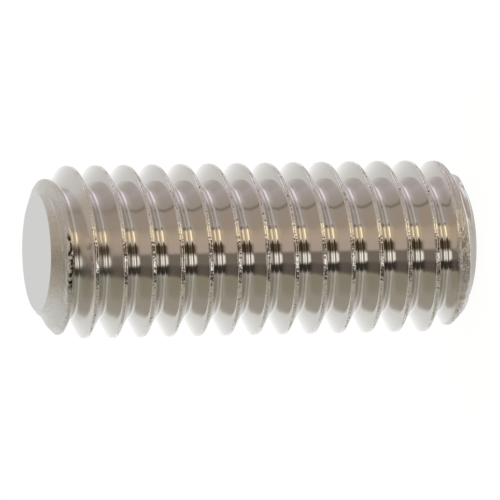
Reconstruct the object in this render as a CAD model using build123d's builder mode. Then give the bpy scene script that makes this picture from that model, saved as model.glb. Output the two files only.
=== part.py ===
"""Hex socket grub screw with a flat point, M6 x 1 by 15 mm long, turned and rolled from one piece of steel.

The screw stands on its drive end: the origin is the centre of that face and +Z runs up the axis to the
flat point. All sizes are in millimetres.
"""

import os
from math import ceil, radians, tan

from build123d import *

# Overall size and right-hand thread
length = 15.0
major_diameter = 5.9
pitch = 1.0
flank_half_angle = 30.0
crest_flat = 0.13
root_flat = 0.1
# Where the middle of the groove crosses the +X side, above the drive face
thread_start = 0.14

# Flat point and drive end. Each chamfer angle is measured from the axis.
point_diameter = 4.0
point_chamfer_angle = 50.0
drive_face_diameter = 4.0
drive_chamfer_angle = 50.0

# Hexagon socket: broached flats, a drilled cone below them and a countersunk mouth
socket_across_flats = 3.0
socket_depth = 3.5
socket_drill_diameter = 2.8
socket_drill_angle = 118.0
socket_drill_web = 0.4
socket_mouth_diameter = 3.6
socket_mouth_angle = 120.0

# The cutter for the groove stands this far out of the crest
cutter_overlap = 0.04


def chamfered_blank():
    """The bar before threading: a cylinder with a cone at each end."""
    crest = major_diameter / 2
    point = point_diameter / 2
    drive_face = drive_face_diameter / 2
    point_cone = (crest - point) / tan(radians(point_chamfer_angle))
    drive_cone = (crest - drive_face) / tan(radians(drive_chamfer_angle))
    with BuildPart() as blank:
        with BuildSketch(Plane.XZ):
            with BuildLine():
                Polyline(
                    (0, 0),
                    (drive_face, 0),
                    (crest, drive_cone),
                    (crest, length - point_cone),
                    (point, length),
                    (0, length),
                    close=True,
                )
            make_face()
        revolve(axis=Axis.Z)
    return blank.part


def groove_turn():
    """One turn of the groove that the thread leaves between its crests: a V with a narrow flat root."""
    slope = tan(radians(flank_half_angle))
    crest = major_diameter / 2
    outer = crest + cutter_overlap
    # The two flanks would meet at the sharp radius, below the root
    sharp = crest - (pitch - crest_flat) / 2 / slope
    root_rise = root_flat / 2
    root = sharp + root_rise / slope
    outer_rise = (outer - sharp) * slope
    with BuildPart() as turn:
        with BuildLine():
            path = Helix(pitch, pitch, crest)
        with BuildSketch(Plane.XZ):
            with BuildLine():
                Polyline(
                    (root, root_rise),
                    (outer, outer_rise),
                    (outer, -outer_rise),
                    (root, -root_rise),
                    close=True,
                )
            make_face()
        sweep(path=path, is_frenet=True)
    return turn.part


def hexagon_socket():
    """The socket as a solid: its hexagon, the drill's cone with the flat of its web, and the mouth's cone."""
    drill_radius = socket_drill_diameter / 2
    web_radius = socket_drill_web / 2
    drill_cone = (drill_radius - web_radius) / tan(radians(socket_drill_angle / 2))
    mouth_radius = socket_mouth_diameter / 2
    mouth_cone = mouth_radius / tan(radians(socket_mouth_angle / 2))
    with BuildPart() as socket:
        with BuildSketch():
            RegularPolygon(socket_across_flats / 2, 6, major_radius=False)
        extrude(amount=socket_depth)
        with BuildSketch(Plane.XZ):
            with BuildLine():
                Polyline(
                    (0, 0),
                    (drill_radius, 0),
                    (drill_radius, socket_depth),
                    (web_radius, socket_depth + drill_cone),
                    (0, socket_depth + drill_cone),
                    close=True,
                )
            make_face()
        revolve(axis=Axis.Z)
        with BuildSketch(Plane.XZ):
            with BuildLine():
                Polyline((0, 0), (mouth_radius, 0), (0, mouth_cone), close=True)
            make_face()
        revolve(axis=Axis.Z)
    return socket.part


blank = chamfered_blank()
turn = groove_turn()
socket = hexagon_socket()

# The groove starts two turns below the drive face and leaves past the flat point
turn_starts = [thread_start + number * pitch for number in range(-2, ceil(length / pitch) + 1)]

with BuildPart() as set_screw:
    add(blank)
    for turn_start in turn_starts:
        with Locations((0, 0, turn_start)):
            add(turn, mode=Mode.SUBTRACT)
    add(socket, mode=Mode.SUBTRACT)

set_screw.part.label = "set_screw"
os.makedirs("parts", exist_ok=True)
export_step(set_screw.part, "parts/set_screw.step")
print("set_screw", set_screw.part.is_valid, round(set_screw.part.volume, 2), "mm3")
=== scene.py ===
# %% [markdown]
# # A grub screw under studio light
#
# The object is one piece of stainless steel: a short threaded bar with a flat point at one end and a
# hexagon socket in the other. The bar is turned, its ends are chamfered, and the thread is then rolled
# between dies. Each of those steps leaves its own form and its own finish, and this lesson makes them
# one by one: first the mesh, along the thread itself, then the finishes, and last the light, because
# polished metal shows little but the room around it. The screw stands on its drive end here, so +Z runs
# up the axis to the flat point.

# %% [markdown]
# ## The frame and its measures
#
# The CAD model gives the place and the overall size. Everything here is worked out in millimetres, as on
# a drawing, and is turned to metres where it enters Blender.

# %% Frame
import math

import bmesh
import bpy
import numpy as np
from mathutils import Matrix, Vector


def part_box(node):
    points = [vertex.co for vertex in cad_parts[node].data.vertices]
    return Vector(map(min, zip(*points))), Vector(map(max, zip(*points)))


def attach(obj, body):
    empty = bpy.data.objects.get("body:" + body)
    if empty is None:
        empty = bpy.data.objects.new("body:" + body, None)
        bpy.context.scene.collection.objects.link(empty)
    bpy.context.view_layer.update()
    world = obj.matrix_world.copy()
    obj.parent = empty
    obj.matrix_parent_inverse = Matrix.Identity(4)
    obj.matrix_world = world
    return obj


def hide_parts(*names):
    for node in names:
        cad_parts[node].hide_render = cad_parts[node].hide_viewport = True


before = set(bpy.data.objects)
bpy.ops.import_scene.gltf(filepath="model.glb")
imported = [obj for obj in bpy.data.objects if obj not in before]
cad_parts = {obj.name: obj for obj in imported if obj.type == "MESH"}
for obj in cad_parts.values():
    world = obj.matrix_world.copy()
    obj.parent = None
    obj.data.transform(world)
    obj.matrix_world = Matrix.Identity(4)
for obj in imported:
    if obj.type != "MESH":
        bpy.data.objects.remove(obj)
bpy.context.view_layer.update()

MM = 0.001
low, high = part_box("set_screw")
LENGTH = (high.z - low.z) / MM
CREST_RADIUS = (high.x - low.x) / 2 / MM
print(f"screw {LENGTH:.2f} mm long, {2 * CREST_RADIUS:.2f} mm over the crests")

# %% [markdown]
# ## The camera
#
# A long lens keeps the turns of the thread nearly parallel. The camera looks at the side of the screw
# from a little above the middle of its height, and it is rolled by a quarter turn, so that the
# standing screw lies across the picture with its flat point at the left. Blender can aim a camera with
# a constraint or with angles. Here its three axes are worked out as vectors, which leaves no doubt about
# the roll.

# %% Camera axes
PICTURE = 500
SENSOR = 36.0
# The lens, the distance, both angles and the middle pixel come from a least-squares fit, by a separate
# program, of the screw's outline and crests to the picture
FOCAL_PIXELS = 8866.0
CAMERA_DISTANCE = 303.03
CAMERA_ELEVATION = math.radians(15.49)
CAMERA_ROLL = math.radians(1.04)
# Where the middle of the screw falls in the picture
MIDDLE_PIXEL = (249.18, 248.91)

toward_camera = np.array([math.cos(CAMERA_ELEVATION), 0, math.sin(CAMERA_ELEVATION)])
level_right = np.array([math.sin(CAMERA_ELEVATION), 0, -math.cos(CAMERA_ELEVATION)])
level_up = np.array([0.0, 1.0, 0.0])
picture_right = math.cos(CAMERA_ROLL) * level_right - math.sin(CAMERA_ROLL) * level_up
picture_up = math.sin(CAMERA_ROLL) * level_right + math.cos(CAMERA_ROLL) * level_up
mm_per_pixel = CAMERA_DISTANCE / FOCAL_PIXELS
camera_place = np.array([0, 0, LENGTH / 2]) + CAMERA_DISTANCE * toward_camera
camera_place -= (MIDDLE_PIXEL[0] - PICTURE / 2) * mm_per_pixel * picture_right
camera_place -= (PICTURE / 2 - MIDDLE_PIXEL[1]) * mm_per_pixel * picture_up
print(f"one pixel is {mm_per_pixel:.3f} mm at the screw")

# %% Camera
camera = bpy.data.objects.new("camera", bpy.data.cameras.new("camera"))
bpy.context.scene.collection.objects.link(camera)
bpy.context.scene.camera = camera
camera.data.sensor_width = SENSOR
camera.data.lens = SENSOR * FOCAL_PIXELS / PICTURE
camera.data.clip_start = 0.01
camera.data.clip_end = 10.0
pose = np.eye(4)
pose[:3, :3] = np.column_stack([picture_right, picture_up, toward_camera])
pose[:3, 3] = camera_place * MM
# A Matrix is filled row by row
for row in range(4):
    camera.matrix_world[row] = pose[row]
print(f"camera lens {camera.data.lens:.0f} mm, {CAMERA_DISTANCE:.0f} mm away")

# %% [markdown]
# ## The thread's section
#
# A rolled thread is a 60 degree V with a narrow crest and a round root. The section could be a profile
# curve that is swept along a helix. A formula is used instead: how far out the surface lies at a place
# across one pitch, measured from the middle of the crest. The ends can then be cut into the same formula,
# and the mesh can have its lines just where the section bends. The dies push the metal up from both
# sides, and where the two swells meet they leave a shallow seam along the middle of the crest.

# %% Sizes of the thread
PITCH = 1.0
FLANK_SLOPE = math.tan(math.radians(60))
CREST_FLAT = 0.13
CREST_EDGE_ROUND = 0.03
ROOT_ROUND = 0.085
# The flanks of a groove would meet at a sharp radius, and the root's arc lies above it
SHARP_RADIUS = CREST_RADIUS - (PITCH - CREST_FLAT) / 2 * FLANK_SLOPE
MINOR_RADIUS = SHARP_RADIUS + ROOT_ROUND
SEAM_DEPTH = 0.012
SEAM_WIDTH = 0.022
# The middle of the crest crosses the +X side half a pitch above the middle of the groove
GROOVE_START = 0.14
CREST_START = GROOVE_START + PITCH / 2
print(f"thread {2 * MINOR_RADIUS:.2f} mm over the roots, pitch {PITCH:.1f} mm")


# %% Section of the thread
def soft_min(a, b, blend):
    """The smaller of a and b, rounded over where they cross."""
    return (a + b - np.sqrt((a - b) ** 2 + blend**2)) / 2


def thread_radius(across):
    """Radius of the thread at a distance across the pitch from the crest's middle, -0.5 to 0.5."""
    away = np.abs(across)
    flank = CREST_RADIUS - (away - CREST_FLAT / 2) * FLANK_SLOPE
    outside = soft_min(np.full_like(away, CREST_RADIUS), flank, CREST_EDGE_ROUND)
    from_root = PITCH / 2 - away
    arc_centre = MINOR_RADIUS + ROOT_ROUND
    arc = arc_centre - np.sqrt(np.maximum(ROOT_ROUND**2 - from_root**2, 0))
    tangent = ROOT_ROUND * math.cos(math.radians(30))
    return np.where(from_root < tangent, arc, outside)


# %% [markdown]
# ## The ends
#
# The bar's chamfers are turned before the thread is rolled. The dies push metal out of the grooves and
# up into the crests, but near an end there is too little of it. There the crest is a low land, which
# still wears the skin of the bar, and it rises from the plain cone in a lip on the side of the deeper
# groove. Where the metal was stretched furthest, the lip is torn. Plain cones that cut the thread would
# be quicker, but they leave a knife edge that a rolled screw doesn't have. So each end is the lower of
# two surfaces: the thread, and a cone with that land. Its shape changes round the axis with how deep the
# crest beside it lies, so it is given by a few sizes at chosen crest depths, and blended between them.

# %% Sizes of the ends
POINT_RADIUS = 4.0 / 2
DRIVE_RADIUS = 4.1 / 2
TORN_LIP_WIDTH = 0.05
CLEAN_LIP_WIDTH = 0.2
LIP_JAGS = 0.04
TEAR_DEPTH = 0.05
# A lip tears only where the end lies below the thread, fully so from this far below it
TEAR_CUT = 0.03
LAND_BLEND = 0.015
# For each depth of the crest below the face, in mm: how deep the lip starts, how high it stands,
# the radius of the land behind it, and how badly that land is torn, from 0 to 1
POINT_END = {
    -0.35: (0.05, 0.05, 2.40, 0.0),
    0.03: (0.00, 0.27, 2.49, 0.0),
    0.11: (0.05, 0.25, 2.50, 0.0),
    0.30: (0.40, 0.14, 2.60, 0.1),
    0.33: (0.44, 0.16, 2.63, 0.8),
    0.37: (0.45, 0.16, 2.65, 1.0),
    0.42: (0.44, 0.16, 2.69, 0.8),
    0.45: (0.42, 0.16, 2.71, 0.4),
    0.50: (0.37, 0.16, 2.74, 0.3),
    0.61: (0.28, 0.14, 2.80, 0.2),
    0.72: (0.36, 0.08, 2.86, 0.1),
    0.85: (0.50, 0.12, 2.93, 0.0),
    1.10: (0.50, 0.50, 3.10, 0.0),
}
DRIVE_END = {
    -0.35: (0.10, 0.00, 2.36, 0.0),
    -0.11: (-0.02, 0.26, 2.45, 0.0),
    0.38: (-0.05, 0.24, 2.72, 0.2),
    0.46: (-0.02, 0.17, 2.72, 0.35),
    0.56: (0.26, 0.25, 2.73, 0.4),
    0.64: (0.34, 0.26, 2.73, 0.4),
    0.85: (0.36, 0.40, 2.88, 0.2),
    1.10: (0.40, 0.60, 3.10, 0.0),
}
print(f"faces {2 * POINT_RADIUS:.1f} and {2 * DRIVE_RADIUS:.1f} mm across")


# %% Shape of the ends
def smooth_step(value, start, end):
    """Rises smoothly from 0 at start to 1 at end."""
    share = np.clip((value - start) / (end - start), 0, 1)
    return share * share * (3 - 2 * share)


def end_radius(crest_depth, depth, face_radius, end_shape, rough):
    """Radius of an end at a depth below its face, beside a crest at crest_depth, and how torn it is."""
    depths = list(end_shape)
    columns = zip(*end_shape.values())
    start, height, land, tear = [np.interp(crest_depth, depths, column) for column in columns]
    start = start + LIP_JAGS * tear * rough
    width = CLEAN_LIP_WIDTH + (TORN_LIP_WIDTH - CLEAN_LIP_WIDTH) * np.minimum(2 * tear, 1)
    risen = smooth_step(depth, start, start + width)
    return soft_min(face_radius + depth + height * risen, land, LAND_BLEND), tear * risen


def screw_radius(across, height, rough):
    """Radius of the finished screw, how far the ends cut below the thread, and how torn it is there."""
    thread = thread_radius(across)
    crest = height - across
    point, point_tear = end_radius(LENGTH - crest, LENGTH - height, POINT_RADIUS, POINT_END, rough)
    drive, drive_tear = end_radius(crest, height, DRIVE_RADIUS, DRIVE_END, rough)
    ends = np.minimum(point, drive)
    cut = thread - ends
    tear = np.maximum(point_tear, drive_tear) * smooth_step(cut, 0, TEAR_CUT)
    return soft_min(thread, ends, LAND_BLEND) + TEAR_DEPTH * tear * rough, cut, tear


# %% [markdown]
# ## The thread as a mesh
#
# A boolean cut would leave long thin triangles along the thread, and a displaced cylinder would show
# steps on every crest. A grid that runs along the helix keeps its edges crisp instead, because each edge
# of the thread is then a line of the mesh. One strip as wide as a pitch winds up the screw, and its upper
# edge joins the lower edge of the next turn, one turn of steps further on.

# %% Places across the pitch
# Close together where the crest's edge, a torn land and the root bend
ABOVE_CREST = [
    0, 0.02, 0.04, 0.052, 0.06, 0.067, 0.076, 0.09, 0.12,
    0.18, 0.26, 0.34, 0.4264, 0.442, 0.456, 0.47, 0.485,
]
BELOW_CREST = [
    0.02, 0.04, 0.052, 0.06, 0.067, 0.076, 0.09, 0.105, 0.12, 0.15,
    0.18, 0.21, 0.26, 0.34, 0.4264, 0.442, 0.456, 0.47, 0.485, 0.5,
]
section = np.array([-place for place in BELOW_CREST[::-1]] + ABOVE_CREST) * PITCH
column_count = len(section)
print(f"{column_count} places across the pitch")

# %% Steps along the helix
STEPS_PER_TURN = 150
# The strip passes both faces, so that they can be cut flat through it
first_step = math.floor((-PITCH / 2 - CREST_START) / PITCH * STEPS_PER_TURN) - 1
last_step = math.ceil((LENGTH + PITCH / 2 - CREST_START) / PITCH * STEPS_PER_TURN) + 1
step_count = last_step - first_step
steps = np.arange(first_step, last_step + STEPS_PER_TURN + 1)
across, crest_height = np.meshgrid(section, CREST_START + PITCH * steps / STEPS_PER_TURN)
height = crest_height + across
angle = np.repeat(2 * np.pi * steps[:, None] / STEPS_PER_TURN, column_count, axis=1)
print(f"{step_count} steps, {step_count / STEPS_PER_TURN:.1f} turns")

# %% [markdown]
# The tears and the seam are real form, not only bump, because they show in the outline and in the mesh
# that is exported. Both use random numbers from one seeded generator, so each run makes the same screw.

# %% Radius at every point of the strip
SEED = 6
FINE_JAG = 0.6
# The seam comes and goes: its depth is at least SEAM_LEAST of SEAM_DEPTH, and up to SEAM_SWING more
SEAM_LEAST = 0.4
SEAM_SWING = 1.2
generator = np.random.default_rng(SEED)
# Each step along the helix has its own jag, and each point a smaller one on top of it
jags = generator.uniform(-1, 1, (len(steps), 1)) + generator.uniform(-FINE_JAG, FINE_JAG, height.shape)
radius, end_cut, torn = screw_radius(across, height, jags)
# Each value is blended with its two neighbours, so that the seam changes smoothly
seam_noise = np.convolve(generator.uniform(0, 1, len(steps) + 2), [0.25, 0.5, 0.25], mode="valid")
seam_strength = SEAM_LEAST + SEAM_SWING * seam_noise[:, None]
radius = radius - SEAM_DEPTH * seam_strength * np.exp(-((across / SEAM_WIDTH) ** 2))
points = np.stack([radius * np.cos(angle), radius * np.sin(angle), height], axis=-1).reshape(-1, 3)
print(f"radius up to {radius.max():.2f} mm")

# %% Faces of the strip
step_index, column = np.meshgrid(np.arange(step_count), np.arange(column_count), indexing="ij")
here = step_index * column_count + column
above = np.where(column == column_count - 1, (step_index + STEPS_PER_TURN) * column_count, here + 1)
quads = np.stack([here, here + column_count, above + column_count, above], axis=-1).reshape(-1, 4)
print(f"helical strip: {len(quads)} quads")

# %% [markdown]
# ## The thread's own map
#
# The crest is rougher than the flanks, so a finish has to know where on the thread it is. Height alone
# can't tell, because the crest climbs as it goes round. So each face gets a place on the thread's map:
# how far along the helix and how far across the pitch, in millimetres. It goes into the mesh as a UV map.

# %% Thread map
helix_length = math.hypot(2 * math.pi * CREST_RADIUS, PITCH)
along = (step_index * helix_length / STEPS_PER_TURN).ravel()
along_next = along + helix_length / STEPS_PER_TURN
section_closed = np.append(section, PITCH / 2)
side = section_closed[column].ravel()
side_next = section_closed[column + 1].ravel()
thread_map = np.stack([
    np.stack([along, side], axis=-1),
    np.stack([along_next, side], axis=-1),
    np.stack([along_next, side_next], axis=-1),
    np.stack([along, side_next], axis=-1),
], axis=1)
print(f"the helix is {along_next.max():.0f} mm long")

# %% [markdown]
# ## From strip to screw
#
# The mesh also carries two attributes for the finishes: where the surface is still the skin of the
# bar, and how badly it is torn. The strip runs past both ends, and two flat cuts trim it. The cuts leave
# a few points almost on top of each other, which are merged.

# %% Mesh of the strip
# The skin of the bar begins and is complete where the end lies this far below the thread, in mm
SKIN_START = -0.005
SKIN_FULL = 0.02
mesh = bpy.data.meshes.new("set_screw_steel")
mesh.from_pydata((points * MM).tolist(), [], quads.tolist())
map_layer = mesh.uv_layers.new(name="thread")
map_layer.data.foreach_set("uv", thread_map.ravel())
for name, values in {"bar_skin": smooth_step(end_cut, SKIN_START, SKIN_FULL), "torn": torn}.items():
    layer = mesh.attributes.new(name, "FLOAT", "POINT")
    layer.data.foreach_set("value", values.ravel())
shape = bmesh.new()
shape.from_mesh(mesh)
print(f"strip: {len(shape.verts)} points")

# %% Trim the ends
CHAMFER_ANGLE = math.radians(45)
RIM_ROUND = 0.04
RIM_DEPTH = RIM_ROUND * math.tan(CHAMFER_ANGLE / 2) * math.sin(CHAMFER_ANGLE)
MERGE_DISTANCE = 0.004


def trim(height_mm, keep_above):
    """Cut the strip flat at a height and return the vertices of the cut, in order round the axis."""
    everything = shape.verts[:] + shape.edges[:] + shape.faces[:]
    cut = bmesh.ops.bisect_plane(
        shape, geom=everything, dist=1e-9, plane_co=(0, 0, height_mm * MM), plane_no=(0, 0, 1),
        clear_outer=not keep_above, clear_inner=keep_above,
    )
    edge = [item for item in cut["geom_cut"] if isinstance(item, bmesh.types.BMVert)]
    bmesh.ops.remove_doubles(shape, verts=edge, dist=MERGE_DISTANCE * MM)
    edge = [vertex for vertex in edge if vertex.is_valid]
    return sorted(edge, key=lambda vertex: math.atan2(vertex.co.y, vertex.co.x))


point_edge = trim(LENGTH - RIM_DEPTH, keep_above=False)
drive_edge = trim(RIM_DEPTH, keep_above=True)
loose = [vertex for vertex in shape.verts if not vertex.link_faces]
bmesh.ops.delete(shape, geom=loose, context="VERTS")
print(f"cut edges: {len(point_edge)} and {len(drive_edge)} vertices")

# %% [markdown]
# ## The flat point
#
# The point is a plain turned disc, and a turned edge is never quite sharp. A bevel modifier would round
# every edge of the thread too, so the rim is made by hand: rings of faces lead over a small arc from the
# cut to the disc. Each ring has a vertex at the angle of every vertex of the cut, so no face is twisted.

# %% Ring helpers
# The finishes are numbered in the order of their materials. The strip's own faces have finish 0, rolled.
FACE, BROACHED, DRILLED = 1, 2, 3


def ring(radii, angles, heights):
    """A ring of new vertices, with a radius and a height in mm for each angle."""
    return [
        shape.verts.new((r * math.cos(a) * MM, r * math.sin(a) * MM, h * MM))
        for r, a, h in zip(radii, angles, heights)
    ]


def join(first, second, finish):
    """Quads between two rings with the same number of vertices."""
    for index in range(len(first)):
        following = (index + 1) % len(first)
        face = shape.faces.new((first[index], first[following], second[following], second[index]))
        face.material_index = finish


def level_ring(like, r, h):
    """A level circle with a vertex at the angle of each vertex of another ring."""
    angles = [math.atan2(vertex.co.y, vertex.co.x) for vertex in like]
    return ring([r] * len(like), angles, [h] * len(like))


def rounded_rim(edge, face_radius, face_height, inward):
    """Round the corner between a chamfer and its flat face. inward is +1 or -1 along Z."""
    centre_radius = face_radius - RIM_ROUND * math.tan(CHAMFER_ANGLE / 2)
    last = edge
    for share in (0.75, 0.5, 0.25, 0):
        tilt = share * CHAMFER_ANGLE
        r = centre_radius + RIM_ROUND * math.sin(tilt)
        h = face_height + inward * RIM_ROUND * (1 - math.cos(tilt))
        following = level_ring(last, r, h)
        join(last, following, FACE)
        last = following
    return last


# %% Flat point
# Radius of each ring on the disc, as a share of the point's own
DISC_RINGS = (0.97, 0.9, 0.75, 0.55, 0.35, 0.15)
last = rounded_rim(point_edge, POINT_RADIUS, LENGTH, -1)
for share in DISC_RINGS:
    following = level_ring(last, POINT_RADIUS * share, LENGTH)
    join(last, following, FACE)
    last = following
face = shape.faces.new(last)
face.material_index = FACE
print(f"flat point {2 * POINT_RADIUS:.2f} mm across")

# %% [markdown]
# ## The drive end
#
# The hexagon socket is drilled, countersunk and then broached with a six-sided punch. It could be cut
# with a boolean, which would leave ragged faces round the mouth. Its walls are planes, so rings that
# follow the hexagon, with a vertex on every corner, make it cleanly. The countersink meets each wall in
# a shallow arc, which comes of itself when a ring takes its height from its radius. The corners are
# slightly round, as the punch leaves them.

# %% Sizes of the socket
SOCKET_ACROSS_FLATS = 3.0
SOCKET_DEPTH = 3.5
MOUTH_RADIUS = 3.6 / 2
DRILL_RADIUS = 2.8 / 2
WEB_RADIUS = 0.4 / 2
DRILL_ANGLE = math.radians(118)
MOUTH_ANGLE = math.radians(120)
DRILL_SLOPE = 1 / math.tan(DRILL_ANGLE / 2)
MOUTH_SLOPE = 1 / math.tan(MOUTH_ANGLE / 2)
# The corners are rounded by a cut this deep, which fades over this angle in radians
CORNER_CUT = 0.025
CORNER_SPREAD = 0.03
SOCKET_STEPS = 144
socket_angles = [2 * math.pi * index / SOCKET_STEPS for index in range(SOCKET_STEPS)]


def hexagon(a):
    """Distance from the axis to the wall of the hexagon at an angle; a corner points along +X."""
    from_corner = (a + math.pi / 6) % (math.pi / 3) - math.pi / 6
    sharp = SOCKET_ACROSS_FLATS / 2 / math.cos(math.pi / 6 - abs(from_corner))
    return sharp - CORNER_CUT * math.exp(-abs(from_corner) / CORNER_SPREAD)


walls = [hexagon(a) for a in socket_angles]
print(f"socket {SOCKET_ACROSS_FLATS:.1f} mm across flats, {SOCKET_DEPTH:.1f} mm deep")

# %% Hexagon socket
# Depths of the rings down the walls, and radii of those down the drilled cone
WALL_RINGS = (0.3, 1.0, 2.0, 3.0, SOCKET_DEPTH)
CONE_RINGS = (1.0, 0.6, WEB_RADIUS)
drive_rim = rounded_rim(drive_edge, DRIVE_RADIUS, 0, 1)
mouth = ring([MOUTH_RADIUS] * SOCKET_STEPS, socket_angles, [0] * SOCKET_STEPS)
last = ring(walls, socket_angles, [(MOUTH_RADIUS - r) * MOUTH_SLOPE for r in walls])
join(mouth, last, FACE)
for h in WALL_RINGS:
    following = ring(walls, socket_angles, [h] * SOCKET_STEPS)
    join(last, following, BROACHED)
    last = following
following = ring([DRILL_RADIUS] * SOCKET_STEPS, socket_angles, [SOCKET_DEPTH] * SOCKET_STEPS)
join(last, following, BROACHED)
last = following
for r in CONE_RINGS:
    h = SOCKET_DEPTH + (DRILL_RADIUS - r) * DRILL_SLOPE
    following = ring([r] * SOCKET_STEPS, socket_angles, [h] * SOCKET_STEPS)
    join(last, following, DRILLED)
    last = following
face = shape.faces.new(last)
face.material_index = DRILLED
print(f"socket floor {SOCKET_DEPTH + (DRILL_RADIUS - WEB_RADIUS) * DRILL_SLOPE:.2f} mm deep")

# %% [markdown]
# The rim of the drive face has as many vertices as the cut left, and the mouth of the socket has its own
# number. The narrow face between them is closed like a zip: each triangle takes whichever of the two
# rings is behind.


# %% Drive face
def zip_rings(outer, inner, finish):
    """Triangles between two rings with different numbers of vertices."""
    def turn(vertex):
        return math.atan2(vertex.co.y, vertex.co.x) % (2 * math.pi)
    outer = sorted(outer, key=turn)
    inner = sorted(inner, key=turn)
    i, j = 0, 0
    while i < len(outer) or j < len(inner):
        next_outer = turn(outer[i + 1]) if i + 1 < len(outer) else 2 * math.pi + turn(outer[0])
        next_inner = turn(inner[j + 1]) if j + 1 < len(inner) else 2 * math.pi + turn(inner[0])
        a = outer[i % len(outer)]
        b = inner[j % len(inner)]
        if j >= len(inner) or (i < len(outer) and next_outer < next_inner):
            corner = outer[(i + 1) % len(outer)]
            i += 1
        else:
            corner = inner[(j + 1) % len(inner)]
            j += 1
        face = shape.faces.new((a, corner, b))
        face.material_index = finish


zip_rings(drive_rim, mouth, FACE)
print(f"drive face zipped from {len(drive_rim)} to {len(mouth)} vertices")

# %% [markdown]
# ## The finished mesh
#
# All faces are shaded smooth, so the fine grid reads as one curved surface. Only edges that bend by
# more than 32 degrees, such as those of the socket, stay sharp. A closed mesh has no open edges, so
# their number is a good test of all the steps so far.

# %% Finish the mesh
SHARP_ANGLE = math.radians(32)
bmesh.ops.recalc_face_normals(shape, faces=shape.faces)
for face in shape.faces:
    face.smooth = True
shape.to_mesh(mesh)
open_edges = sum(1 for edge in shape.edges if not edge.is_manifold)
shape.free()
mesh.set_sharp_from_angle(angle=SHARP_ANGLE)
steel_piece = bpy.data.objects.new("set_screw_steel", mesh)
bpy.context.scene.collection.objects.link(steel_piece)
triangles = sum(len(polygon.vertices) - 2 for polygon in mesh.polygons)
print(f"screw mesh: {triangles} triangles, {open_edges} open edges")

# %% [markdown]
# ## Colours and nodes
#
# Colours are written as sRGB hex values, as a paint program shows them, and one function turns them to
# the linear light that the shader works in. One more function adds a node of any kind. Its inputs are
# named by the socket's name, or by its number where a node has several sockets of one name: in a Mix
# node 2 and 3 are its numbers, and 6 and 7 its colours.


# %% Helpers for materials
def linear(code):
    """The linear colour of an sRGB hex value."""
    values = [int(code[place:place + 2], 16) / 255 for place in (1, 3, 5)]
    return [v / 12.92 if v <= 0.04045 else ((v + 0.055) / 1.055) ** 2.4 for v in values] + [1]


def add(tree, kind, inputs=(), **settings):
    """Add a node, set its settings, and fill its inputs with values or with links from other sockets."""
    node = tree.nodes.new(kind)
    for name, value in settings.items():
        setattr(node, name, value)
    for key, value in dict(inputs).items():
        if isinstance(value, bpy.types.NodeSocket):
            tree.links.new(value, node.inputs[key])
        else:
            node.inputs[key].default_value = value
    return node


print("middle grey is", [round(value, 3) for value in linear("#808080")])

# %% [markdown]
# ## Stainless steel
#
# Every finish of this screw is the same metal, so every material starts from one stainless steel: fully
# metallic, with a slightly warm grey as its colour, which for a metal is the tint of its reflections.
# What differs is the roughness, the relief and the dirt that each tool leaves. The materials join the
# mesh in the order of the finish numbers above.
#
# The patterns are mostly noises, whose values lie near 0.5. A Map Range with limits on both sides of
# that turns a noise into soft patches, and one with both limits to one side leaves a few small spots.

# %% Steel
STEEL = "#dddbd8"
# Depth in mm of the relief that a bump of full strength stands for
BUMP_DEPTH = 0.03


def steel(name):
    """A new stainless steel and its shader; every finish starts from it."""
    material = bpy.data.materials.new(name)
    material.use_nodes = True
    shader = material.node_tree.nodes["Principled BSDF"]
    shader.inputs["Base Color"].default_value = linear(STEEL)
    shader.inputs["Metallic"].default_value = 1
    mesh.materials.append(material)
    return material.node_tree, shader


print("base steel", STEEL)

# %% [markdown]
# ## Rolled stainless steel
#
# The dies burnish the flanks and the roots, which gives the eye sharp mirror-like reflections. The dies
# don't touch the crest: there the metal is free, so it is rougher, it sparkles, and it is pitted along
# the seam, with painted shade in the pits. At the ends the lands and the cones still have the satin skin of
# the turned bar, and the torn lips are broken, with painted shade in their cracks. All of it is one
# continuous surface, so it is one material, and masks lead from one finish to the next: the crest comes
# from the thread's map, the rest from the attributes.

# %% Rolled steel: where each finish lies
# The finish of the crest fades between these distances from its middle, in mm
CREST_FADE_START = 0.07
CREST_FADE_END = 0.09
tree, shader = steel("rolled_stainless_steel")
place = add(tree, "ShaderNodeTexCoord").outputs["Object"]
thread_place = add(tree, "ShaderNodeUVMap", uv_map="thread").outputs[0]
across_out = add(tree, "ShaderNodeSeparateXYZ", {0: thread_place}).outputs["Y"]
away_out = add(tree, "ShaderNodeMath", {0: across_out}, operation="ABSOLUTE").outputs[0]
crest_mask = add(tree, "ShaderNodeMapRange", {
    "Value": away_out, "From Min": CREST_FADE_START, "From Max": CREST_FADE_END,
    "To Min": 1, "To Max": 0}).outputs[0]
bar_mask = add(tree, "ShaderNodeAttribute", attribute_name="bar_skin").outputs["Fac"]
torn_mask = add(tree, "ShaderNodeAttribute", attribute_name="torn").outputs["Fac"]
rolled_mask = add(tree, "ShaderNodeMath", {0: 1, 1: bar_mask}, operation="SUBTRACT").outputs[0]
crest_mask = add(tree, "ShaderNodeMath", {0: crest_mask, 1: rolled_mask}, operation="MULTIPLY").outputs[0]
print(f"masks: {len(tree.nodes)} nodes")

# %% [markdown]
# The flanks are almost a mirror. Near the flat point the dies were slower to grip and left them duller,
# and everywhere the shine varies a little in soft blotches, which keeps the metal from looking like
# chrome.

# %% Rolled steel: roughness
BRIGHT_ROUGHNESS = 0.055
DULL_ROUGHNESS = 0.17
CREST_ROUGHNESS = 0.12
BAR_ROUGHNESS = 0.36
# Heights in mm between which the thread grows duller
DULL_FROM = 11.4
DULL_TO = 13.8
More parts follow.
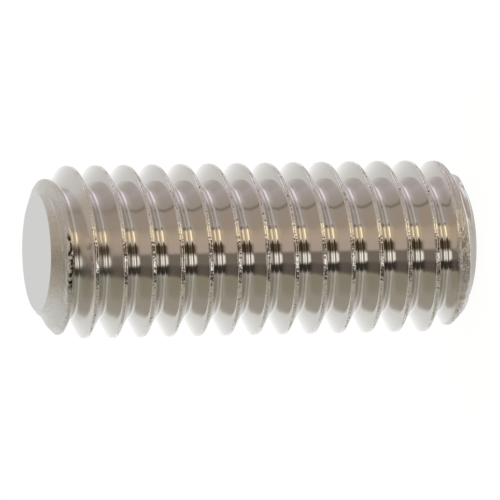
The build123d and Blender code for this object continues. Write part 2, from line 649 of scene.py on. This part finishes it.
# Size of the blotches, and how many times as rough the shiniest and the dullest of them are
BLOTCH_SIZE = 0.8
BLOTCH_SHINIEST = 0.7
BLOTCH_DULLEST = 1.4
up = add(tree, "ShaderNodeSeparateXYZ", {0: place}).outputs["Z"]
dull = add(tree, "ShaderNodeMapRange", {
    "Value": up, "From Min": DULL_FROM * MM, "From Max": DULL_TO * MM,
    "To Min": BRIGHT_ROUGHNESS, "To Max": DULL_ROUGHNESS}, interpolation_type="SMOOTHSTEP").outputs[0]
blotch = add(tree, "ShaderNodeTexNoise", {
    "Vector": place, "Scale": 1 / (BLOTCH_SIZE * MM), "Detail": 3}).outputs["Fac"]
uneven = add(tree, "ShaderNodeMapRange", {
    "Value": blotch, "From Min": 0.3, "From Max": 0.7,
    "To Min": BLOTCH_SHINIEST, "To Max": BLOTCH_DULLEST}).outputs[0]
roughness = add(tree, "ShaderNodeMath", {0: dull, 1: uneven}, operation="MULTIPLY").outputs[0]
for mask, value in ((crest_mask, CREST_ROUGHNESS), (bar_mask, BAR_ROUGHNESS)):
    roughness = add(tree, "ShaderNodeMix", {"Factor": mask, 2: roughness, 3: value}).outputs[0]
tree.links.new(roughness, shader.inputs["Roughness"])
print(f"roughness from {BRIGHT_ROUGHNESS} on the flanks to {BAR_ROUGHNESS} on the bar's skin")

# %% [markdown]
# One noise is the relief of every part of the thread, and the masks say how strong it is. On the crest
# it tilts each grain towards another part of the room, which gives the gold, dark and white sparkle.
# The real grain is a few hundredths of a millimetre, about a pixel here, so it is drawn a little coarser
# than that, to show at all.

# %% Rolled steel: relief
GRAIN_SIZE = 0.1
FLANK_RELIEF = 0.012
CREST_RELIEF = 0.4
BAR_RELIEF = 0.3
TORN_RELIEF = 0.8
grain = add(tree, "ShaderNodeTexNoise", {
    "Vector": place, "Scale": 1 / (GRAIN_SIZE * MM), "Detail": 1}).outputs["Fac"]
relief = FLANK_RELIEF
for mask, strength in ((crest_mask, CREST_RELIEF), (bar_mask, BAR_RELIEF), (torn_mask, TORN_RELIEF)):
    relief = add(tree, "ShaderNodeMath", {
        0: mask, 1: strength, 2: relief}, operation="MULTIPLY_ADD").outputs[0]
bump = add(tree, "ShaderNodeBump", {
    "Strength": relief, "Distance": BUMP_DEPTH * MM, "Height": grain}).outputs[0]
tree.links.new(bump, shader.inputs["Normal"])
print(f"grain {GRAIN_SIZE} mm, drawn coarser than the real one")

# %% [markdown]
# Two kinds of dark spots are painted shade: a dark colour stands for the shade inside small hollows.
# Pits lie along the seam of the crest, closest together at its middle. Tears lie on the torn lips, and
# there are more of them where the lip is worse.

# %% Rolled steel: pits and tears
PIT_SIZE = 0.07
TEAR_SIZE = 0.13
# How far the seam and the torn lips shift their noise, which brings more of it past its limits
SEAM_SHIFT = 0.08
TORN_SHIFT = 0.25
# Dark spots of painted shade along the seam, where its hollow lies in shade
seam_pit_shade = add(tree, "ShaderNodeTexNoise", {
    "Vector": place, "Scale": 1 / (PIT_SIZE * MM), "Detail": 2}).outputs["Fac"]
seam_mask = add(tree, "ShaderNodeMapRange", {
    "Value": away_out, "From Min": 0.01, "From Max": 0.04, "To Min": SEAM_SHIFT, "To Max": 0}).outputs[0]
seam_pit_shade = add(tree, "ShaderNodeMath", {0: seam_pit_shade, 1: seam_mask}, operation="SUBTRACT").outputs[0]
seam_pit_shade = add(tree, "ShaderNodeMapRange", {
    "Value": seam_pit_shade, "From Min": 0.24, "From Max": 0.34, "To Min": 1, "To Max": 0}).outputs[0]
seam_pit_shade = add(tree, "ShaderNodeMath", {0: seam_pit_shade, 1: crest_mask}, operation="MULTIPLY").outputs[0]
# Dark spots of painted shade in the cracks of the torn lips
tear_shade = add(tree, "ShaderNodeTexNoise", {
    "Vector": place, "Scale": 1 / (TEAR_SIZE * MM), "Detail": 2}).outputs["Fac"]
tear_shade = add(tree, "ShaderNodeMath", {
    0: torn_mask, 1: TORN_SHIFT, 2: tear_shade}, operation="MULTIPLY_ADD").outputs[0]
tear_shade = add(tree, "ShaderNodeMapRange", {"Value": tear_shade, "From Min": 0.58, "From Max": 0.7}).outputs[0]
# Only a lip that is badly torn gets the dark painted shade
deep = add(tree, "ShaderNodeMapRange", {"Value": torn_mask, "From Min": 0.4, "From Max": 0.7}).outputs[0]
tear_shade = add(tree, "ShaderNodeMath", {0: tear_shade, 1: deep}, operation="MULTIPLY").outputs[0]
dark = add(tree, "ShaderNodeMath", {0: seam_pit_shade, 1: tear_shade}, operation="MAXIMUM").outputs[0]
print(f"pits {PIT_SIZE} mm and tears {TEAR_SIZE} mm across")

# %% [markdown]
# Colour comes last. The crest is worn a little lighter than the flanks, the crest and the bar's skin are
# mottled with a darker grey, and the pits and tears are painted a dark warm brown, as painted shade.

# %% Rolled steel: colour
GREY_STEEL = "#cbc8c3"
WORN_STEEL = "#e8e5e3"
# The dark warm brown of the painted shade in the pits and tears
CREVICE_SHADE = "#3a3028"
MOTTLE_SIZE = 0.045
# How strong the mottling is on the crest, beside that of the bar's skin
CREST_MOTTLE = 0.8
mottle = add(tree, "ShaderNodeTexNoise", {
    "Vector": place, "Scale": 1 / (MOTTLE_SIZE * MM), "Detail": 1}).outputs["Fac"]
mottle = add(tree, "ShaderNodeMapRange", {"Value": mottle, "From Min": 0.35, "From Max": 0.65}).outputs[0]
free_mask = add(tree, "ShaderNodeMath", {
    0: crest_mask, 1: CREST_MOTTLE, 2: bar_mask}, operation="MULTIPLY_ADD").outputs[0]
mottle = add(tree, "ShaderNodeMath", {0: mottle, 1: free_mask}, operation="MULTIPLY").outputs[0]
# The last mix lays the painted shade of the pits and tears over the steel
shade = linear(STEEL)
for mask, code in ((crest_mask, WORN_STEEL), (mottle, GREY_STEEL), (dark, CREVICE_SHADE)):
    shade = add(tree, "ShaderNodeMix", {
        "Factor": mask, 6: shade, 7: linear(code)}, data_type="RGBA").outputs[2]
tree.links.new(shade, shader.inputs["Base Color"])
print(f"rolled stainless steel: {len(tree.nodes)} nodes")

# %% [markdown]
# ## Turned stainless steel
#
# The two end faces are faced on the lathe and then tumbled with the rest of the screw. The facing tool
# leaves fine rings, and tumbling makes them matt, so the face gives the eye a plain soft grey with only
# a hint of the rings. A Wave Texture draws the rings round the axis, and a noise is the tumbled grain.
# Both are drawn at about twice their real size, because the real ones are finer than a pixel.

# %% Turned steel
LIGHT_STEEL = "#e6e8ea"
LIGHTEST_STEEL = "#eef0f1"
TURNED_ROUGHNESS = 0.5
TURNED_RELIEF = 0.12
TUMBLED_GRAIN = 0.06
FACING_PITCH = 0.08
# How deep the rings are beside the grain
RING_SHARE = 0.25
# The rings of a Wave Texture lie this far apart at a scale of 1
WAVE_LENGTH = 2 * math.pi / 20
tree, shader = steel("turned_stainless_steel")
shader.inputs["Roughness"].default_value = TURNED_ROUGHNESS
place = add(tree, "ShaderNodeTexCoord").outputs["Object"]
grain = add(tree, "ShaderNodeTexNoise", {
    "Vector": place, "Scale": 1 / (TUMBLED_GRAIN * MM), "Detail": 3}).outputs["Fac"]
rings = add(tree, "ShaderNodeTexWave", {
    "Vector": place, "Scale": WAVE_LENGTH / (FACING_PITCH * MM), "Distortion": 1.5, "Detail": 1,
    "Detail Scale": 0.3}, wave_type="RINGS", rings_direction="Z").outputs["Fac"]
marks = add(tree, "ShaderNodeMath", {0: rings, 1: RING_SHARE, 2: grain}, operation="MULTIPLY_ADD").outputs[0]
bump = add(tree, "ShaderNodeBump", {
    "Strength": TURNED_RELIEF, "Distance": BUMP_DEPTH * MM, "Height": marks}).outputs[0]
tree.links.new(bump, shader.inputs["Normal"])
tone = add(tree, "ShaderNodeMapRange", {"Value": grain, "From Min": 0.35, "From Max": 0.65}).outputs[0]
shade = add(tree, "ShaderNodeMix", {
    "Factor": tone, 6: linear(LIGHT_STEEL), 7: linear(LIGHTEST_STEEL)}, data_type="RGBA").outputs[2]
tree.links.new(shade, shader.inputs["Base Color"])
print(f"facing rings {FACING_PITCH} mm apart")

# %% [markdown]
# ## Broached stainless steel
#
# The punch scrapes down the walls of the socket, so they are scored from the mouth to the floor. A noise
# that is stretched along the axis draws those streaks: narrow across the wall, long down it. They give
# the eye dark and light lines and a shine that is broken across the wall. It is hidden in the first view,
# and it is what a view into the socket shows.

# %% Broached steel
STREAK_WIDTH = 0.06
STREAK_LENGTH = 1.2
SCORED_STEEL = "#b9b4ad"
BROACHED_SMOOTHEST = 0.2
BROACHED_ROUGHEST = 0.42
BROACHED_RELIEF = 0.35
tree, shader = steel("broached_stainless_steel")
place = add(tree, "ShaderNodeTexCoord").outputs["Object"]
per_streak = [1 / (size * MM) for size in (STREAK_WIDTH, STREAK_WIDTH, STREAK_LENGTH)]
stretched = add(tree, "ShaderNodeVectorMath", {0: place, 1: per_streak}, operation="MULTIPLY").outputs[0]
streaks = add(tree, "ShaderNodeTexNoise", {"Vector": stretched, "Scale": 1, "Detail": 2}).outputs["Fac"]
roughness = add(tree, "ShaderNodeMapRange", {
    "Value": streaks, "From Min": 0.3, "From Max": 0.7,
    "To Min": BROACHED_SMOOTHEST, "To Max": BROACHED_ROUGHEST}).outputs[0]
tree.links.new(roughness, shader.inputs["Roughness"])
scores = add(tree, "ShaderNodeMapRange", {"Value": streaks, "From Min": 0.52, "From Max": 0.7}).outputs[0]
shade = add(tree, "ShaderNodeMix", {
    "Factor": scores, 6: linear(STEEL), 7: linear(SCORED_STEEL)}, data_type="RGBA").outputs[2]
tree.links.new(shade, shader.inputs["Base Color"])
bump = add(tree, "ShaderNodeBump", {
    "Strength": BROACHED_RELIEF, "Distance": BUMP_DEPTH * MM, "Height": streaks}).outputs[0]
tree.links.new(bump, shader.inputs["Normal"])
print(f"streaks {STREAK_WIDTH} mm wide and {STREAK_LENGTH} mm long")

# %% [markdown]
# ## Drilled stainless steel
#
# The cone at the bottom of the socket is what the drill left, and no other tool reaches it. The drill's
# feed leaves coarse rings, which catch the light as thin bright circles deep in the socket.

# %% Drilled steel
DRILL_FEED = 0.12
DRILLED_SMOOTHEST = 0.2
DRILLED_ROUGHEST = 0.38
DRILLED_RELIEF = 0.4
tree, shader = steel("drilled_stainless_steel")
place = add(tree, "ShaderNodeTexCoord").outputs["Object"]
rings = add(tree, "ShaderNodeTexWave", {
    "Vector": place, "Scale": WAVE_LENGTH / (DRILL_FEED * MM), "Distortion": 2, "Detail": 2,
    "Detail Scale": 0.4}, wave_type="RINGS", rings_direction="Z").outputs["Fac"]
roughness = add(tree, "ShaderNodeMapRange", {
    "Value": rings, "To Min": DRILLED_SMOOTHEST, "To Max": DRILLED_ROUGHEST}).outputs[0]
tree.links.new(roughness, shader.inputs["Roughness"])
shade = add(tree, "ShaderNodeMix", {
    "Factor": rings, 6: linear(SCORED_STEEL), 7: linear(STEEL)}, data_type="RGBA").outputs[2]
tree.links.new(shade, shader.inputs["Base Color"])
bump = add(tree, "ShaderNodeBump", {
    "Strength": DRILLED_RELIEF, "Distance": BUMP_DEPTH * MM, "Height": rings}).outputs[0]
tree.links.new(bump, shader.inputs["Normal"])
print(f"drill rings {DRILL_FEED} mm apart, {len(mesh.materials)} finishes on the screw")

# %% [markdown]
# ## The floor
#
# The screw stands on white paper. Extra lamps would bring the paper to white, but they would burn out the
# steel as well. So the paper glows by itself, just enough to be white in the picture, and a small share
# of plain matt paper keeps a faint shadow where the screw stands. It is hidden from glossy rays, because
# the studio's cards below stand for the table that the steel mirrors. It lies a hair below the face that
# stands on it, and it is clear when seen from underneath, so that a view from below shows the socket.

# %% Floor
WHITE = (1, 1, 1, 1)
PAPER = "#f3f3f3"
FLOOR_REACH = 1.0
FLOOR_GAP = 0.01
SHADOW_SHARE = 0.12
PAPER_GLOW = 1.08
corners = [
    (x * FLOOR_REACH, y * FLOOR_REACH, -FLOOR_GAP * MM)
    for x, y in ((-1, -1), (1, -1), (1, 1), (-1, 1))
]
floor_mesh = bpy.data.meshes.new("floor")
floor_mesh.from_pydata(corners, [], [range(4)])
floor = bpy.data.objects.new("floor", floor_mesh)
bpy.context.scene.collection.objects.link(floor)
floor.visible_glossy = False
paper = bpy.data.materials.new("paper")
paper.use_nodes = True
tree = paper.node_tree
tree.nodes.clear()
matt = add(tree, "ShaderNodeBsdfDiffuse", {"Color": linear(PAPER)})
glow = add(tree, "ShaderNodeEmission", {"Color": WHITE, "Strength": PAPER_GLOW})
upper = add(tree, "ShaderNodeMixShader", {0: 1 - SHADOW_SHARE, 1: matt.outputs[0], 2: glow.outputs[0]})
clear = add(tree, "ShaderNodeBsdfTransparent")
underneath = add(tree, "ShaderNodeNewGeometry").outputs["Backfacing"]
sheet = add(tree, "ShaderNodeMixShader", {0: underneath, 1: upper.outputs[0], 2: clear.outputs[0]})
add(tree, "ShaderNodeOutputMaterial", {"Surface": sheet.outputs[0]})
floor_mesh.materials.append(paper)
print(f"floor {2 * FLOOR_REACH:.0f} m wide")

# %% [markdown]
# ## The studio
#
# A polished thread is a row of curved mirrors: each groove shows the whole room once, squeezed into a
# few lines. An image of a room would be the usual way to light it. Here the room is made of plain cards
# in a white dome, with soft edges, as a photographer sets them up round shiny things. Each card is a
# patch of the world's background, given by its turn round the axis and its height. Large dim cards make
# the soft grey and brown areas, and a few small ones make the gold, dark and white spots in the roots.
# A later card covers an earlier one.

# %% Cards
# For each card: its turn round the axis, half its width and its soft edge in degrees, its lowest and
# highest direction along Z and their soft edge, its colour, and how bright it is.
# Most cards began as a least-squares fit of places and colours to the picture's reflections, which a
# separate program wrote here, and were then rounded and changed by hand. The right dim card is still
# the fit's, rounded, and so are the places of the cool lamp and the cool glow. The back table, the warm
# table, the thin post, the ceiling, the flag base and the overhead arm were placed one by one.
STUDIO_CARDS = {
    "back card": (184, 54, 7, 0.2, 1.6, 0.4, "#e6e7e5", 1.0),
    "left dim card": (-70, 40, 30, -3, 3, 0.4, "#b4b0a3", 1.0),
    "left low card": (-99, 40, 30, -0.48, -0.15, 0.08, "#c4beb2", 1.0),
    "back table": (180, 66, 10, -1.5, -0.7, 0.12, "#e4e1de", 1.0),
    "left table": (-65, 52, 7, -1.5, -0.57, 0.25, "#aba188", 1.0),
    "right dim card": (82, 58, 30, -1.5, 1.7, 0.35, "#c7beb7", 1.0),
    "right table": (36, 79, 7, -1.5, -0.48, 0.1, "#c7b7a9", 1.0),
    "warm table": (11, 18, 8, -1.3, -0.62, 0.05, "#ddcbbc", 1.0),
    "thin post": (74.5, 2.5, 2, -0.62, -0.2, 0.05, "#a3958a", 1.0),
    "ceiling": (0, 200, 5, 0.8, 1.5, 0.08, "#bfb4a6", 1.0),
    "cool lamp": (104, 16, 8, -0.03, 0.6, 0.23, "#f8f2ff", 1.2),
    "cool glow": (97, 14, 7, -0.23, -0.07, 0.25, "#f3ebf0", 1.0),
    "warm glow": (23, 13, 5, -0.62, 0.1, 0.15, "#ead5b6", 1.0),
    "warm lamp": (23, 9.5, 3, -0.04, 0.8, 0.08, "#ffefcd", 1.5),
    "shade": (36, 2.5, 2.5, -0.25, 0.8, 0.15, "#9a8f84", 1.0),
    "flag foot": (-27.5, 21.5, 3.5, -1, -0.5, 0.06, "#92887e", 1.0),
    "flag base": (-38, 10.5, 3.5, -1, -0.5, 0.06, "#7a7168", 1.0),
    "flag": (-35.5, 8.5, 4, -0.6, 1.1, 0.12, "#443f38", 1.0),
    "strip mount": (-18, 9, 3, -0.1, 0.8, 0.1, "#9c907e", 1.0),
    "strip lamp": (-17.5, 7.5, 3, -0.56, -0.15, 0.06, "#fffaf2", 1.5),
    "dark card foot": (1, 9, 4, -0.53, 0.1, 0.1, "#67543f", 1.0),
    "dark card": (0, 12, 3, -0.02, 0.8, 0.1, "#47371f", 1.0),
    "overhead arm": (-20, 40, 20, 0.92, 1.3, 0.04, "#857968", 1.0),
}
DOME_WHITE = 1.1
print(f"{len(STUDIO_CARDS)} cards in a white dome")

# %% [markdown]
# Each direction in the dome is split into its turn round the axis and its height. A card is the product
# of two soft steps, one in each, and it is mixed over what is there already.

# %% World
world = bpy.data.worlds.new("studio")
bpy.context.scene.world = world
world.use_nodes = True
tree = world.node_tree
tree.nodes.clear()
direction = add(tree, "ShaderNodeTexCoord").outputs["Generated"]
parts = add(tree, "ShaderNodeSeparateXYZ", {0: direction}).outputs
azimuth = add(tree, "ShaderNodeMath", {0: parts["Y"], 1: parts["X"]}, operation="ARCTAN2").outputs[0]
studio = (DOME_WHITE, DOME_WHITE, DOME_WHITE, 1)
for name, (turn, half_width, edge, lowest, highest, level_edge, code, strength) in STUDIO_CARDS.items():
    middle = math.radians(turn)
    aside = add(tree, "ShaderNodeMath", {0: azimuth, 1: middle}, operation="SUBTRACT").outputs[0]
    aside = add(tree, "ShaderNodeMath", {0: aside, 1: math.pi, 2: -math.pi}, operation="WRAP").outputs[0]
    aside = add(tree, "ShaderNodeMath", {0: aside}, operation="ABSOLUTE").outputs[0]
    wide = add(tree, "ShaderNodeMapRange", {
        "Value": aside,
        "From Min": math.radians(half_width - edge), "From Max": math.radians(half_width + edge),
        "To Min": 1, "To Max": 0}, interpolation_type="SMOOTHSTEP").outputs[0]
    level = (lowest + highest) / 2
    half_height = (highest - lowest) / 2
    above = add(tree, "ShaderNodeMath", {0: parts["Z"], 1: level}, operation="SUBTRACT").outputs[0]
    above = add(tree, "ShaderNodeMath", {0: above}, operation="ABSOLUTE").outputs[0]
    tall = add(tree, "ShaderNodeMapRange", {
        "Value": above, "From Min": half_height - level_edge, "From Max": half_height + level_edge,
        "To Min": 1, "To Max": 0}, interpolation_type="SMOOTHSTEP").outputs[0]
    card = add(tree, "ShaderNodeMath", {0: wide, 1: tall}, operation="MULTIPLY").outputs[0]
    colour = [value * strength for value in linear(code)[:3]] + [1]
    mix = add(tree, "ShaderNodeMix", {"Factor": card, 6: studio, 7: colour}, data_type="RGBA")
    mix.label = name
    studio = mix.outputs[2]
print(f"studio: {len(tree.nodes)} nodes")

# %% [markdown]
# The camera itself sees a plain white background: where a ray comes straight from the camera, the dome's
# cards are left out. The Standard view transform shows colours as they are written.

# %% Background
from_camera = add(tree, "ShaderNodeLightPath").outputs["Is Camera Ray"]
shown = add(tree, "ShaderNodeMix", {
    "Factor": from_camera, 6: studio, 7: WHITE}, data_type="RGBA").outputs[2]
background = add(tree, "ShaderNodeBackground", {"Color": shown})
add(tree, "ShaderNodeOutputWorld", {"Surface": background.outputs[0]})
bpy.context.scene.view_settings.view_transform = "Standard"
print("background white")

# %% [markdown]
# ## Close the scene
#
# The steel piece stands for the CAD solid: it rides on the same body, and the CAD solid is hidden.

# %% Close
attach(steel_piece, "root")
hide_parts("set_screw")
